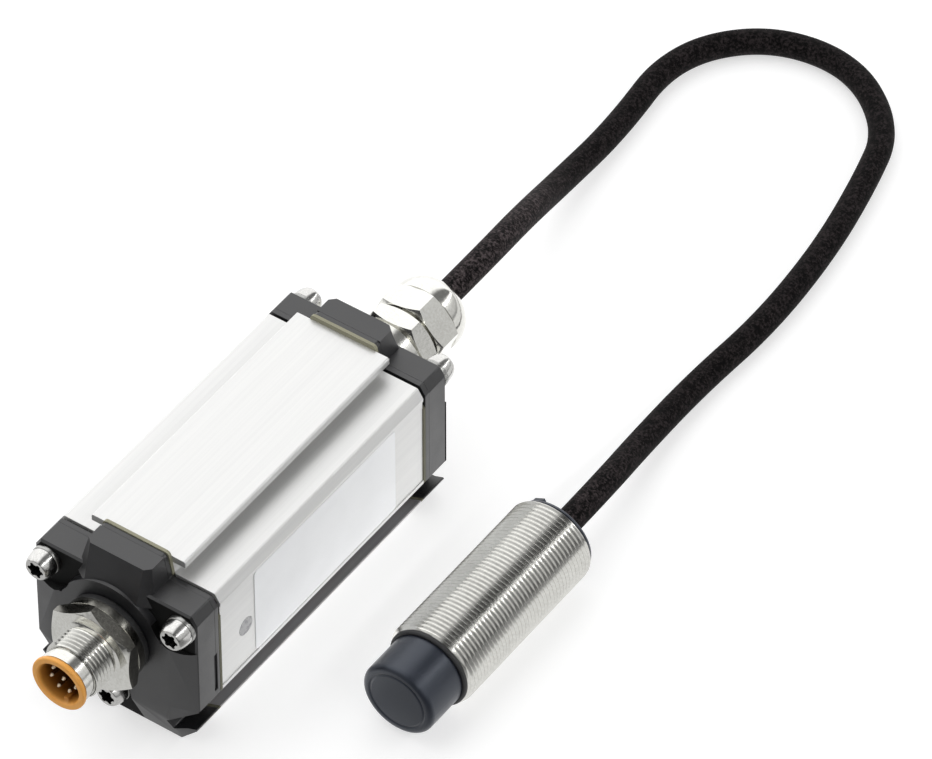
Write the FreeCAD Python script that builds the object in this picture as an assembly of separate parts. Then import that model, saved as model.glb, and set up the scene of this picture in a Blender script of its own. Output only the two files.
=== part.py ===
import FreeCAD, Part
import math
import os

# Remote capacitive sensor: an amplifier in an extruded housing, a free cable and a threaded sensing head.
# Millimetres. +Z is up, +Y runs along the housing from its plug to its cable gland, and the head lies on
# the +X side. The origin is the centre of the housing's underside, on the surface that everything lies on.

V = FreeCAD.Vector
ALONG = V(0, 1, 0)

# Extruded housing
profile_length = 62.3
housing_width = 35.8
housing_height = 37.4
housing_wall = 2.0
shoulder_drop = 4.15
bevel_width = 1.2
bevel_height = 1.95
edge_round = 0.45
lip_round = 0.2
rail_width = 20.8
rail_thickness = 1.5
rail_neck_width = 15.2
rail_neck_wall = 1.7
foot_width = 27.6
notch_lip_height = 4.4
notch_top_height = 9.0
notch_root_depth = 6.5
notch_root_low = 2.3
notch_root_high = 4.2
notch_root_slant = 1.2
housing_floor = 2.4
side_recess_depth = 0.2
side_recess_low = 9.9
side_recess_drop = 0.8

# End caps, the same at both ends
gasket_thickness = 0.65
gasket_proud = 0.2
gasket_set_back = 0.8
gasket_set_back_drop = 2.1
seal_plate_thickness = 1.15
cap_thickness = 5.4
panel_height = 1.7
panel_side_slope = 5.4
panel_foot_slope = 5.8
panel_round_radius = 11.5
panel_flat_above_axis = 3.6
hump_rise = 0.8
hump_top_width = 14.0
hump_top_side_out = 5.2
hump_top_front_out = 6.3
hump_top_front_width = 11.8
hump_drop = 2.75
hump_low_width = 17.0
hump_low_side_out = 7.0
hump_low_front_out = 8.85
hump_low_front_width = 11.4
cap_edge_break = 0.4
cap_core_depth = 2.8
cap_wall = 1.8
corner_pocket_radius = 6.0
foot_pocket_radius = 4.0
foot_pocket_flare = 11.2
pry_slot_width = 0.9
pry_slot_depth = 0.5
pry_slot_in_cap = 0.5
pry_slot_height = 9.3
pry_slot_low = 10.4

# Cap screws
screw_side_inset = 3.0
screw_shoulder_drop = 3.65
screw_foot_height = 5.6
screw_shank_radius = 1.45
screw_thread_length = 9.0
screw_head_radius = 2.85
screw_head_height = 2.9
screw_dome_height = 1.3
screw_crown_radius = 2.05
screw_recess_radius = 1.3
screw_recess_lobe = 0.42
screw_recess_depth = 1.8
washer_radius = 2.95
washer_thickness = 1.0
screw_port_radius = 3.1
screw_clearance = 0.25
thread_clearance = 0.05

# Plug connector
axis_below_top = 16.4
shank_radius = 5.9
shank_inner_length = 3.4
connector_seal_radius = 8.6
connector_seal_thickness = 1.6
connector_flange_radius = 8.8
connector_flange_thickness = 1.6
connector_hex_flats = 17.2
connector_hex_length = 3.0
connector_shoulder_radius = 6.7
connector_shoulder_length = 0.5
connector_thread_radius = 6.0
connector_thread_length = 5.2
connector_neck_radius = 5.3
connector_neck_length = 1.4
connector_collar_radius = 5.5
connector_collar_length = 1.2
connector_bore_radius = 4.8
insert_rim_radius = 5.8
insert_rim_length = 1.3
insert_cup_radius = 4.25
insert_cup_depth = 7.5
insert_length = 15.6
insert_rim_chamfer = 0.45
key_width = 1.1
key_height = 0.6
key_angle = -74.0
pin_circle_radius = 2.75
pin_ring_count = 7
pin_first_angle = 245.0
pin_radius = 0.4
pin_below_rim = 1.5
pin_length = 17.0
lead_radius = 0.55
slide_clearance = 0.05

# Cable gland
gland_seal_radius = 8.2
gland_seal_thickness = 1.2
gland_collar_radius = 7.9
gland_collar_length = 3.8
gland_groove_radius = 6.8
gland_groove_length = 0.8
gland_hex_flats = 15.0
gland_hex_length = 3.9
gland_neck_radius = 5.6
gland_neck_length = 5.6
gland_nut_gap = 0.7
gland_nut_flats = 14.8
gland_nut_hex_length = 5.8
gland_dome_radius = 7.6
gland_dome_length = 6.5
gland_mouth_radius = 3.7
gland_hex_turn = 30.0
gland_nut_turn = -20.0
gland_bush_radius = 4.5
gland_cone_length = 2.25
gland_crown_wall = 2.0
gland_bush_tip_radius = 3.2
locknut_flats = 16.0
locknut_thickness = 3.0
hex_corner_round = 0.35

# Amplifier board
board_height = 12.0
board_thickness = 1.6
board_length = 54.0
board_slot_depth = 0.9
board_clearance = 0.15
header_width = 9.0
header_length = 5.0
header_inset = 7.0
header_above_axis = 4.0
controller_width = 7.0
controller_thickness = 1.2
controller_middle = -4.5
coil_radius = 3.2
coil_height = 4.5
coil_aside = 9.5
coil_along = 3.0
capacitor_radius = 2.0
capacitor_height = 5.5
capacitor_pitch = 5.5
trimmer_width = 6.4
trimmer_height = 3.6
trimmer_aside = 8.7
trimmer_along = 12.2
trimmer_screw_radius = 1.3
trimmer_screw_height = 0.8
led_from_front = 7.6
led_height = 18.8
led_window_radius = 1.9
led_window_flange = 0.7
led_window_length = 2.6
led_body_size = 3.0
led_body_gap = 0.3

# Side foil
foil_thickness = 0.15
foil_from_front = 10.3
foil_length = 43.2
foil_margin = 0.2
foil_corner = 0.8

# Cable
cable_radius = 2.6
cable_core_radius = 1.3

# Sensing head
head_offset = 45.1
barrel_radius = 9.0
barrel_front = -5.4
barrel_length = 38.8
barrel_bore_radius = 7.75
barrel_end_chamfer = 0.5
cap_radius = 7.7
cap_reach = 10.3
cap_insertion = 8.0
cap_cup_wall = 1.2
cap_face_thickness = 1.5
cap_face_round = 1.1
cap_ring_radius = 5.9
cap_ring_width = 0.35
cap_ring_depth = 0.15
seal_ring_radius = 8.35
seal_ring_width = 0.85
electrode_radius = 5.0
electrode_thickness = 0.6
guard_gap = 0.3
guard_length = 3.0
head_board_width = 10.0
head_board_length = 27.0
head_board_thickness = 1.0
spacer_thickness = 2.0
plug_length = 4.6
plug_rim_radius = 8.4
plug_rim_length = 0.6
plug_tab_width = 2.4
plug_tab_height = 1.6
plug_tab_length = 0.8
plug_tab_angle = 118.0
bush_radius = 3.5
bush_length = 1.6

# Places worked out from the sizes above
half_length = profile_length / 2
half_width = housing_width / 2
shoulder_height = housing_height - shoulder_drop
shoulder_half = half_width - bevel_width
side_top = shoulder_height - bevel_height
side_face = half_width - side_recess_depth
side_recess_top = side_top - side_recess_drop
axis_height = housing_height - axis_below_top
hump_low_height = shoulder_height - hump_drop
hump_top_height = housing_height + hump_rise
screw_top_height = shoulder_height - screw_shoulder_drop
screw_spacing = housing_width - 2 * screw_side_inset
rail_underside = housing_height - rail_thickness
cavity_half = half_width - housing_wall
cavity_top = shoulder_height - housing_wall
notch_root_x = half_width - notch_root_depth
plate_out = gasket_thickness + seal_plate_thickness
block_out = plate_out + cap_thickness
panel_out = block_out + panel_height
hump_foot_width = hump_low_width + ((hump_top_width - hump_low_width) * (shoulder_height - hump_low_height)
                                    / (hump_top_height - hump_low_height))
screw_places = [(-screw_spacing / 2, screw_top_height), (screw_spacing / 2, screw_top_height),
                (0, screw_foot_height)]
board_top = board_height + board_thickness
head_height = barrel_radius
barrel_rear = barrel_front + barrel_length
plug_face = barrel_rear + plug_rim_length
gland_mouth_out = (panel_out + gland_seal_thickness + gland_collar_length + gland_groove_length
                   + gland_hex_length + gland_nut_gap + gland_nut_hex_length + gland_dome_length)

# The free cable's route: straight out of the gland, down to the surface, round a wide loop and into the
# head. Hand-chosen points along its centre.
cable_route = [
    (0.0, half_length + gland_mouth_out, axis_height),
    (0.0, 76.8, axis_height),
    (-3.7, 94.0, 15.0),
    (-9.4, 114.8, 4.4),
    (-10.0, 134.8, cable_radius),
    (-12.8, 158.0, cable_radius),
    (-1.0, 173.4, cable_radius),
    (17.6, 176.2, cable_radius),
    (33.0, 165.0, cable_radius),
    (37.4, 149.5, cable_radius),
    (41.2, 129.8, cable_radius),
    (42.8, 107.4, cable_radius),
    (41.2, 86.4, cable_radius),
    (42.2, 66.4, 4.4),
    (head_offset, 49.6, head_height),
    (head_offset, plug_face + bush_length, head_height),
]


def outline_wire(points, y):
    """Closed wire in the plane y, through (x, z) points; a third number rounds that corner."""
    corners = [(V(p[0], y, p[1]), p[2] if len(p) > 2 else 0) for p in points]
    starts, ends, mids = [], [], []
    for i, (corner, radius) in enumerate(corners):
        before = (corners[i - 1][0] - corner).normalize()
        after = (corners[(i + 1) % len(corners)][0] - corner).normalize()
        if radius == 0:
            starts.append(corner)
            ends.append(corner)
            mids.append(None)
            continue
        half = before.getAngle(after) / 2
        reach = radius / math.tan(half)
        centre = corner + (before + after).normalize() * (radius / math.sin(half))
        starts.append(corner + before * reach)
        ends.append(corner + after * reach)
        mids.append(centre + (corner - centre).normalize() * radius)
    edges = []
    for i in range(len(corners)):
        if mids[i] is not None:
            edges.append(Part.Arc(starts[i], mids[i], ends[i]).toShape())
        edges.append(Part.LineSegment(ends[i], starts[(i + 1) % len(corners)]).toShape())
    return Part.Wire(edges)


def prism(points, y_from, y_to):
    """Solid of one section between two planes across Y."""
    face = Part.Face(outline_wire(points, y_from))
    return face.extrude(V(0, y_to - y_from, 0))


def mirrored(right_side):
    """Whole outline from its right-hand points, given from the bottom to the top."""
    return right_side + [(-p[0],) + tuple(p[1:]) for p in reversed(right_side)]


def rod(radius, y_from, y_to, x=0.0, z=axis_height):
    return Part.makeCylinder(radius, y_to - y_from, V(x, y_from, z), ALONG)


def turned(points, x=0.0, z=axis_height):
    """Solid turned about an axis along Y, from (radius, y) points."""
    wire = Part.makePolygon([V(x + r, y, z) for r, y in points + [points[0]]])
    return Part.Face(wire).revolve(V(x, 0, z), ALONG, 360)


def hexagon(flats, y_from, y_to, turn=0.0, x=0.0, z=axis_height):
    """Six-sided nut body with its corners chamfered at both ends."""
    corner = flats / math.sqrt(3)
    points = [(x + corner * math.sin(math.radians(60 * i + turn)),
               z + corner * math.cos(math.radians(60 * i + turn))) for i in range(6)]
    inner = flats / 2
    drop = (corner - inner) * math.tan(math.radians(30))
    lathe = turned([(0, y_from), (inner, y_from), (corner, y_from + drop), (corner, y_to - drop),
                    (inner, y_to), (0, y_to)], x, z)
    return prism(points, y_from, y_to).common(lathe)


def out(distance):
    """Y of a plane this far outside the housing profile, at the plug's end."""
    return -half_length - distance


def at_gland(shape):
    """The same piece at the gland's end: turned half round about Z."""
    turned_round = shape.copy()
    turned_round.rotate(V(0, 0, 0), V(0, 0, 1), 180)
    return turned_round


def lower_outline():
    """Right-hand side of the housing's section from the foot to the shoulder, with the clamp notch."""
    return [
        (foot_width / 2, 0),
        (half_width, notch_lip_height, lip_round),
        (notch_root_x + notch_root_slant, notch_root_low, edge_round),
        (notch_root_x, notch_root_high, edge_round),
        (half_width, notch_top_height, edge_round),
        (half_width, side_top, edge_round),
        (shoulder_half, shoulder_height, edge_round),
    ]


def plate_outline():
    """Section of the seal plates: the housing's own, with a hump in the rail's place."""
    return mirrored(lower_outline() + [
        (hump_foot_width / 2, shoulder_height),
        (hump_top_width / 2, hump_top_height, 2 * edge_round),
    ])


def gasket_outline():
    """The plates' outline, a little proud round the hump and set back along the shoulders."""
    back = gasket_set_back
    return mirrored(lower_outline()[:-2] + [
        (half_width, side_top - gasket_set_back_drop - back),
        (half_width - back, side_top - gasket_set_back_drop),
        (half_width - back, side_top),
        (shoulder_half - back, shoulder_height - back),
        (hump_foot_width / 2 + gasket_proud, shoulder_height - back),
        (hump_top_width / 2 + gasket_proud, hump_top_height + gasket_proud, 2 * edge_round),
    ])


def cavity_outline():
    """The space for the board, clear of the clamp notches and up into the rail's neck."""
    slope = (notch_top_height - notch_root_high) / notch_root_depth
    lift = housing_wall * math.sqrt(1 + slope * slope)
    inner_x = notch_root_x - housing_wall
    low_z = notch_root_high + lift + slope * (inner_x - notch_root_x)
    side_z = notch_root_high + lift + slope * (cavity_half - notch_root_x)
    neck_half = rail_neck_width / 2 - rail_neck_wall
    return mirrored([
        (inner_x, housing_floor),
        (inner_x, low_z),
        (cavity_half, side_z),
        (cavity_half, cavity_top),
        (neck_half, cavity_top),
        (neck_half, rail_underside - edge_round),
    ])


def screw_ports(y_from, y_to, radius):
    """The round columns that the cap screws go into, with a web under the one at the foot."""
    ports = [rod(radius, y_from, y_to, x, z) for x, z in screw_places]
    web = Part.makeBox(radius, y_to - y_from, screw_foot_height - housing_floor,
                       V(-radius / 2, y_from, housing_floor))
    return ports[0].multiFuse(ports[1:] + [web])


def screw_holes(y_from, y_to, radius):
    return Part.makeCompound([rod(radius, y_from, y_to, x, z) for x, z in screw_places])


def housing_profile():
    section = mirrored(lower_outline() + [
        (rail_neck_width / 2, shoulder_height, edge_round),
        (rail_neck_width / 2, rail_underside),
        (rail_width / 2, rail_underside),
        (rail_width / 2, housing_height, edge_round),
    ])
    body = prism(section, -half_length, half_length)
    cavity = prism(cavity_outline(), -half_length, half_length)
    body = body.cut(cavity.cut(screw_ports(-half_length, half_length, screw_port_radius)))
    slot_reach = cavity_half + board_slot_depth
    slots = Part.makeBox(2 * slot_reach, profile_length, board_thickness + board_clearance,
                         V(-slot_reach, -half_length, board_height))
    body = body.cut(slots)
    for side in (side_face, -half_width):
        body = body.cut(Part.makeBox(side_recess_depth, profile_length, side_recess_top - side_recess_low,
                                     V(side, -half_length, side_recess_low)))
    body = body.cut(screw_holes(-half_length, half_length, screw_shank_radius + thread_clearance))
    window = Part.makeCylinder(led_window_radius + slide_clearance, housing_wall + 1,
                               V(cavity_half - 0.5, led_from_front - half_length, led_height), V(1, 0, 0))
    return body.cut(window)


def pry_slot():
    """Shallow slot in the side where cap and seal plate meet, for lifting the cap off."""
    return Part.makeBox(pry_slot_depth, pry_slot_width, pry_slot_height,
                        V(half_width - pry_slot_depth, out(plate_out + pry_slot_in_cap), pry_slot_low))


def gasket():
    ring = prism(gasket_outline(), out(gasket_thickness), out(0))
    opening = prism(cavity_outline(), out(gasket_thickness), out(0))
    opening = opening.cut(screw_ports(out(gasket_thickness), out(0), screw_port_radius))
    holes = screw_holes(out(gasket_thickness), out(0), screw_shank_radius + screw_clearance)
    return ring.cut(opening).cut(holes)


def seal_plate():
    inner, outer = out(gasket_thickness), out(plate_out)
    plate = prism(plate_outline(), outer, inner).cut(pry_slot())
    plate = plate.cut(rod(shank_radius + slide_clearance, outer, inner))
    return plate.cut(screw_holes(outer, inner, screw_shank_radius + screw_clearance))


def cap_panel():
    """The proud front of a cap: flat in the middle, sloping back to the sides and the foot."""
    foot_half = foot_width / 2
    flat_half = half_width - panel_side_slope
    flat_foot = flat_half - (half_width - foot_half) / 4
    low = mirrored([(foot_half, 0), (half_width, notch_top_height), (half_width, shoulder_height)])
    high = mirrored([(flat_foot, panel_foot_slope), (flat_half, notch_top_height),
                     (flat_half, shoulder_height)])
    slab = Part.makeLoft([outline_wire(low, out(block_out)), outline_wire(high, out(panel_out))], True, True)
    notches = []
    for side in (1, -1):
        notches.append(prism([
            (side * (notch_root_x + notch_root_slant), notch_root_low),
            (side * notch_root_x, notch_root_high),
            (side * (half_width + 1), notch_top_height + (notch_top_height - notch_root_high) / notch_root_depth),
            (side * (half_width + 1), notch_lip_height),
            (side * half_width, notch_lip_height),
        ], out(panel_out), out(block_out)))
    keep = rod(panel_round_radius, out(panel_out), out(block_out)).fuse(
        Part.makeBox(housing_width, panel_height, axis_height + panel_flat_above_axis,
                     V(-half_width, out(panel_out), 0)))
    slab = slab.common(keep).cut(Part.makeCompound(notches))
    for x, z in screw_places[:2]:
        slab = slab.cut(rod(corner_pocket_radius, out(panel_out), out(block_out), x, z))
    slab = slab.cut(rod(foot_pocket_radius, out(panel_out), out(block_out), 0, screw_foot_height))
    flare = prism([(-foot_pocket_flare / 2, 0), (foot_pocket_flare / 2, 0),
                   (foot_pocket_radius, screw_foot_height), (-foot_pocket_radius, screw_foot_height)],
                  out(panel_out), out(block_out))
    return slab.cut(flare)


def front_wedge(start, end, y):
    """Cutter that breaks the front edge between two (x, z) points of the outline, inside on their left."""
    first = V(start[0], y, start[1])
    run = V(end[0] - start[0], 0, end[1] - start[1])
    direction = V(run).normalize()
    inward = V(-direction.z, 0, direction.x)
    over = 0.02
    corners = [first - inward * over - ALONG * over, first + inward * (cap_edge_break + over) - ALONG * over,
               first - inward * over + ALONG * (cap_edge_break + over)]
    return Part.Face(Part.makePolygon(corners + [corners[0]])).extrude(run)


def cap_core():
    """Hollow in a cap's back, round the screw columns and the shank's boss."""
    inner = out(plate_out)
    deep = inner - cap_core_depth
    low_z = notch_root_high + 3 * cap_wall
    core = prism(mirrored([
        (notch_root_x - 2 * cap_wall, 2 * cap_wall), (notch_root_x - 2 * cap_wall, low_z),
        (cavity_half, notch_top_height + cap_wall), (cavity_half, cavity_top),
    ]), deep, inner)
    core = core.cut(screw_ports(deep, inner, screw_port_radius))
    return core.cut(rod(connector_seal_radius, deep, inner))


def cap_hump():
    """The hump on top of a cap: six-sided, narrower and shorter upwards, with slanted front corners."""
    sections = []
    for z, width, side_out, front_out, front_width in (
            (hump_low_height, hump_low_width, hump_low_side_out, hump_low_front_out, hump_low_front_width),
            (hump_top_height, hump_top_width, hump_top_side_out, hump_top_front_out, hump_top_front_width)):
        right = [(width / 2, out(plate_out)), (width / 2, out(side_out)), (front_width / 2, out(front_out))]
        points = [V(x, y, z) for x, y in mirrored(right)]
        sections.append(Part.makePolygon(points + [points[0]]))
    return Part.makeLoft(sections, True, True)


def end_cap():
    inner, outer = out(plate_out), out(block_out)
    block = prism(mirrored(lower_outline()), outer, inner)
    upper = mirrored([(half_width, notch_top_height), (half_width, side_top), (shoulder_half, shoulder_height)])
    wedges = [front_wedge(a, b, outer) for a, b in zip(upper, upper[1:])]
    block = block.cut(Part.makeCompound(wedges))
    cap = block.cut(cap_core()).fuse(cap_panel()).fuse(cap_hump())
    cap = cap.cut(rod(shank_radius + slide_clearance, out(panel_out), inner))
    cap = cap.cut(screw_holes(outer, inner, screw_shank_radius + screw_clearance))
    return cap.cut(pry_slot()).removeSplitter()


def cap_screw(x, z):
    """Domed screw with a six-lobed recess."""
    seat = out(block_out + washer_thickness)
    crown = seat - screw_head_height
    shoulder = crown + screw_dome_height
    rim = screw_crown_radius
    arc = Part.Arc(V(x + screw_head_radius, shoulder, z),
                   V(x + (screw_head_radius + rim) / 2 + 0.22, (shoulder + crown) / 2 - 0.22, z),
                   V(x + rim, crown, z)).toShape()
    inner_end = -half_length + screw_thread_length
    ends = [V(x + rim, crown, z), V(x, crown, z), V(x, inner_end, z),
            V(x + screw_shank_radius - 0.4, inner_end, z), V(x + screw_shank_radius, inner_end - 0.4, z),
            V(x + screw_shank_radius, seat, z), V(x + screw_head_radius, seat, z),
            V(x + screw_head_radius, shoulder, z)]
    lines = [Part.LineSegment(a, b).toShape() for a, b in zip(ends, ends[1:])]
    screw = Part.Face(Part.Wire([arc] + lines)).revolve(V(x, 0, z), ALONG, 360)
    recess = [rod(screw_recess_radius, crown, crown + screw_recess_depth, x, z)]
    for i in range(6):
        turn = math.radians(60 * i)
        recess.append(rod(screw_recess_lobe, crown, crown + screw_recess_depth,
                          x + screw_recess_radius * math.cos(turn), z + screw_recess_radius * math.sin(turn)))
    return screw.cut(recess[0].multiFuse(recess[1:]))


def lock_washer(x, z):
    inner = screw_shank_radius + screw_clearance
    seat = out(block_out)
    return turned([(inner, seat), (washer_radius, seat), (washer_radius, seat - washer_thickness),
                   (inner, seat - washer_thickness)], x, z)


def connector_stack():
    """Y of each step of the plug, from the cap's panel outwards."""
    steps = [panel_out]
    for length in (connector_seal_thickness, connector_flange_thickness, connector_hex_length,
                   connector_shoulder_length, connector_thread_length, connector_neck_length,
                   connector_collar_length, insert_rim_length):
        steps.append(steps[-1] + length)
    return [out(s) for s in steps]


def connector_seal():
    panel, seat = connector_stack()[:2]
    bead = 0.3
    return turned([(shank_radius + slide_clearance, panel), (connector_seal_radius - bead, panel),
                   (connector_seal_radius, panel - bead), (connector_seal_radius, seat + bead),
                   (connector_seal_radius - bead, seat), (shank_radius + slide_clearance, seat)])


def connector_shell():
    _, seat, flange, hex_end, cone, thread, neck, collar, _ = connector_stack()
    inner_end = out(-shank_inner_length)
    shell = turned([
        (connector_bore_radius, inner_end), (shank_radius, inner_end), (shank_radius, seat),
        (connector_flange_radius, seat), (connector_flange_radius, flange),
        (connector_shoulder_radius, flange), (connector_shoulder_radius, hex_end),
        (connector_thread_radius, cone), (connector_thread_radius, thread),
        (connector_neck_radius, thread), (connector_neck_radius, neck),
        (connector_collar_radius, neck), (connector_collar_radius, collar),
        (connector_bore_radius, collar),
    ])
    flats = hexagon(connector_hex_flats, hex_end, flange)
    flats = flats.cut(rod(connector_bore_radius + 0.5, hex_end, flange))
    return shell.fuse(flats).removeSplitter()


def connector_insert():
    """Flared cup that lines the plug, with the key on its inside."""
    collar, rim = connector_stack()[-2:]
    body = connector_bore_radius - slide_clearance
    floor = rim + insert_cup_depth
    insert = turned([
        (body, floor), (body, collar), (insert_rim_radius - insert_rim_chamfer, collar),
        (insert_rim_radius, collar - insert_rim_chamfer), (insert_rim_radius, rim + insert_rim_chamfer / 2),
        (insert_rim_radius - insert_rim_chamfer / 2, rim), (insert_cup_radius + insert_rim_chamfer, rim),
        (insert_cup_radius, rim + 2 * insert_rim_chamfer), (insert_cup_radius, floor),
    ])
    key = Part.makeBox(key_height + 0.3, insert_cup_depth - 2 * insert_rim_chamfer, key_width,
                       V(insert_cup_radius - key_height, rim + 2 * insert_rim_chamfer,
                         axis_height - key_width / 2))
    key.rotate(V(0, 0, axis_height), ALONG, -key_angle)
    return insert.fuse(key)


def pin_carrier():
    """Disc at the cup's floor that the pins are moulded into."""
    rim = connector_stack()[-1]
    floor, back = rim + insert_cup_depth, rim + insert_length
    carrier = rod(connector_bore_radius - slide_clearance, floor, back)
    return carrier.cut(Part.makeCompound([rod(pin_radius, floor, back, x, z) for x, z in pin_places()]))


def pin_places():
    places = [(0.0, axis_height)]
    for i in range(pin_ring_count):
        turn = math.radians(pin_first_angle + 360 / pin_ring_count * i)
        places.append((pin_circle_radius * math.cos(turn), axis_height + pin_circle_radius * math.sin(turn)))
    return places


def connector_pins():
    tip = connector_stack()[-1] + pin_below_rim
    pins = []
    for x, z in pin_places():
        pins.append(turned([(0, tip), (pin_radius * 0.5, tip), (pin_radius, tip + pin_radius),
                            (pin_radius, tip + pin_length), (0, tip + pin_length)], x, z))
    return Part.makeCompound(pins)


def connector_leads():
    start = connector_stack()[-1] + pin_below_rim + pin_length
    return Part.makeCompound([rod(lead_radius, start, out(-header_inset), x, z) for x, z in pin_places()])


def locknut():
    """Thin nut that holds the plug's or the gland's shank from inside the cap."""
    outer = out(gasket_thickness)
    nut = hexagon(locknut_flats, outer, outer + locknut_thickness)
    return nut.cut(rod(shank_radius + slide_clearance, outer, outer + locknut_thickness))


def gland_stack():
    """Y of each step of the gland, as built at the plug's end, from the cap's panel outwards."""
    steps = [panel_out]
    for length in (gland_seal_thickness, gland_collar_length, gland_groove_length, gland_hex_length,
                   gland_nut_gap, gland_nut_hex_length, gland_dome_length):
        steps.append(steps[-1] + length)
    return [out(s) for s in steps]


def gland_gasket():
    panel, seat = gland_stack()[:2]
    bead = 0.25
    return turned([(shank_radius + slide_clearance, panel), (gland_seal_radius - bead, panel),
                   (gland_seal_radius, panel - bead), (gland_seal_radius, seat + bead),
                   (gland_seal_radius - bead, seat), (shank_radius + slide_clearance, seat)])


def gland_body():
    _, seat, collar, groove, hex_end = gland_stack()[:5]
    bush_seat = hex_end + 1.0
    neck_end = hex_end - gland_neck_length
    cable_bore = cable_radius + 2 * slide_clearance
    body = turned([
        (cable_bore, out(-shank_inner_length)), (shank_radius, out(-shank_inner_length)),
        (shank_radius, seat), (gland_collar_radius, seat), (gland_collar_radius, collar),
        (gland_groove_radius, collar), (gland_groove_radius, groove),
        (gland_neck_radius, groove), (gland_neck_radius, neck_end),
        (gland_bush_radius + slide_clearance, neck_end), (gland_bush_radius + slide_clearance, bush_seat),
        (cable_bore, bush_seat),
    ])
    flats = hexagon(gland_hex_flats, hex_end, groove, gland_hex_turn)
    flats = flats.cut(rod(gland_neck_radius - 0.3, hex_end, groove))
    return body.fuse(flats).removeSplitter()


def nut_cone(radius):
    """Y at which the nut's inner cone, which squeezes the bush, has this radius."""
    narrow = cable_radius + 2 * slide_clearance
    slope = gland_cone_length / (gland_bush_radius + slide_clearance - narrow)
    return gland_stack()[-1] + gland_crown_wall + slope * (radius - narrow)


def gland_bush():
    """Rubber bush squeezed round the cable inside the gland."""
    bush_seat = gland_stack()[4] + 1.0
    inner = cable_radius + slide_clearance / 2
    return turned([(inner, bush_seat), (gland_bush_radius, bush_seat),
                   (gland_bush_radius, nut_cone(gland_bush_radius)),
                   (gland_bush_tip_radius, nut_cone(gland_bush_tip_radius)),
                   (inner, nut_cone(gland_bush_tip_radius))])


def gland_nut():
    """Domed clamping nut: a hexagon that runs out into a round crown with the cable's mouth."""
    start, hex_end, mouth = gland_stack()[5:]
    crown_mid = (hex_end + mouth) / 2
    bulge = 0.35 * (gland_dome_radius - gland_mouth_radius)
    mid_radius = (gland_dome_radius + gland_mouth_radius) / 2 + bulge
    arc = Part.Arc(V(gland_dome_radius, hex_end, axis_height), V(mid_radius, crown_mid - bulge / 2, axis_height),
                   V(gland_mouth_radius, mouth, axis_height)).toShape()
    cable_bore = cable_radius + 2 * slide_clearance
    ends = [V(r, y, axis_height) for r, y in [
        (gland_mouth_radius, mouth), (cable_bore, mouth), (cable_bore, nut_cone(cable_bore)),
        (gland_bush_radius + slide_clearance, nut_cone(gland_bush_radius + slide_clearance)),
        (gland_neck_radius + thread_clearance, hex_end - 0.5),
        (gland_neck_radius + thread_clearance, start), (gland_nut_flats / 2 - 0.4, start),
        (gland_nut_flats / 2 - 0.4, hex_end), (gland_dome_radius, hex_end)]]
    lines = [Part.LineSegment(a, b).toShape() for a, b in zip(ends, ends[1:])]
    crown = Part.Face(Part.Wire([arc] + lines)).revolve(V(0, 0, axis_height), ALONG, 360)
    flats = hexagon(gland_nut_flats, hex_end, start, gland_nut_turn)
    flats = flats.cut(rod(gland_neck_radius + 0.4, hex_end, start))
    return crown.fuse(flats).removeSplitter()


def cable_entry():
    """The cable's stretch through the gland, stripped to its core in front of the board."""
    mouth = gland_stack()[-1]
    stripped = out(-3.0)
    return turned([(0, mouth), (cable_radius, mouth), (cable_radius, stripped), (cable_core_radius, stripped),
                   (cable_core_radius, out(-header_inset)), (0, out(-header_inset))])


def circuit_board():
    width = 2 * (cavity_half + board_slot_depth - board_clearance)
    return Part.makeBox(width, board_length, board_thickness, V(-width / 2, -board_length / 2, board_height))


def board_header():
    """Upright header that the leads, or the cable's core, plug into."""
    return Part.makeBox(header_width, header_length, axis_height + header_above_axis - board_top,
                        V(-header_width / 2, out(-header_inset), board_top))


def board_components():
    """Controller, filter coil, two electrolytic capacitors and the setting trimmer."""
    up = V(0, 0, 1)
    controller = Part.makeBox(controller_width, controller_width, controller_thickness,
                              V(-controller_width / 2, controller_middle - controller_width / 2, board_top))
    coil = Part.makeCylinder(coil_radius, coil_height, V(-coil_aside, coil_along, board_top), up)
    capacitors = [Part.makeCylinder(capacitor_radius, capacitor_height, V(trimmer_aside, y, board_top), up)
                  for y in (-capacitor_pitch / 2, capacitor_pitch / 2)]
    trimmer = Part.makeBox(trimmer_width, trimmer_width, trimmer_height,
                           V(trimmer_aside - trimmer_width / 2, trimmer_along - trimmer_width / 2, board_top))
    screw = Part.makeCylinder(trimmer_screw_radius, trimmer_screw_height,
                              V(trimmer_aside, trimmer_along, board_top + trimmer_height), up)
    return Part.makeCompound([controller, coil] + capacitors + [trimmer.fuse(screw)])


def status_led():
    """Upright lamp on the board, with its lens facing the window."""
    side = led_body_size
    lens_tip = half_width - led_window_length - led_body_gap
    y = led_from_front - half_length
    stand = Part.makeBox(side, side, led_height + side / 2 - board_top,
                         V(lens_tip - side - 1.0, y - side / 2, board_top))
    lens = Part.makeCylinder(side / 2 - 0.2, 1.0, V(lens_tip - 1.0, y, led_height), V(1, 0, 0))
    return stand.fuse(lens)


def led_window():
    """Clear plug pressed into the side wall, flush with the recessed face, with a lip inside."""
    y = led_from_front - half_length
    window = Part.makeCylinder(led_window_radius, side_face - cavity_half, V(cavity_half, y, led_height),
                               V(1, 0, 0))
    lip = Part.makeCylinder(led_window_radius + led_window_flange, led_window_length - housing_wall,
                            V(half_width - led_window_length, y, led_height), V(1, 0, 0))
    return window.fuse(lip)


def side_foil():
    """Thin blank foil in the side wall's recess, beside the lamp's window."""
    low = side_recess_low + foil_margin
    foil = Part.makeBox(foil_thickness, foil_length, side_recess_top - foil_margin - low,
                        V(side_face, foil_from_front - half_length, low))
    corners = [e for e in foil.Edges if abs(e.BoundBox.XLength - foil_thickness) < 1e-6]
    return foil.makeFillet(foil_corner, corners)


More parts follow.
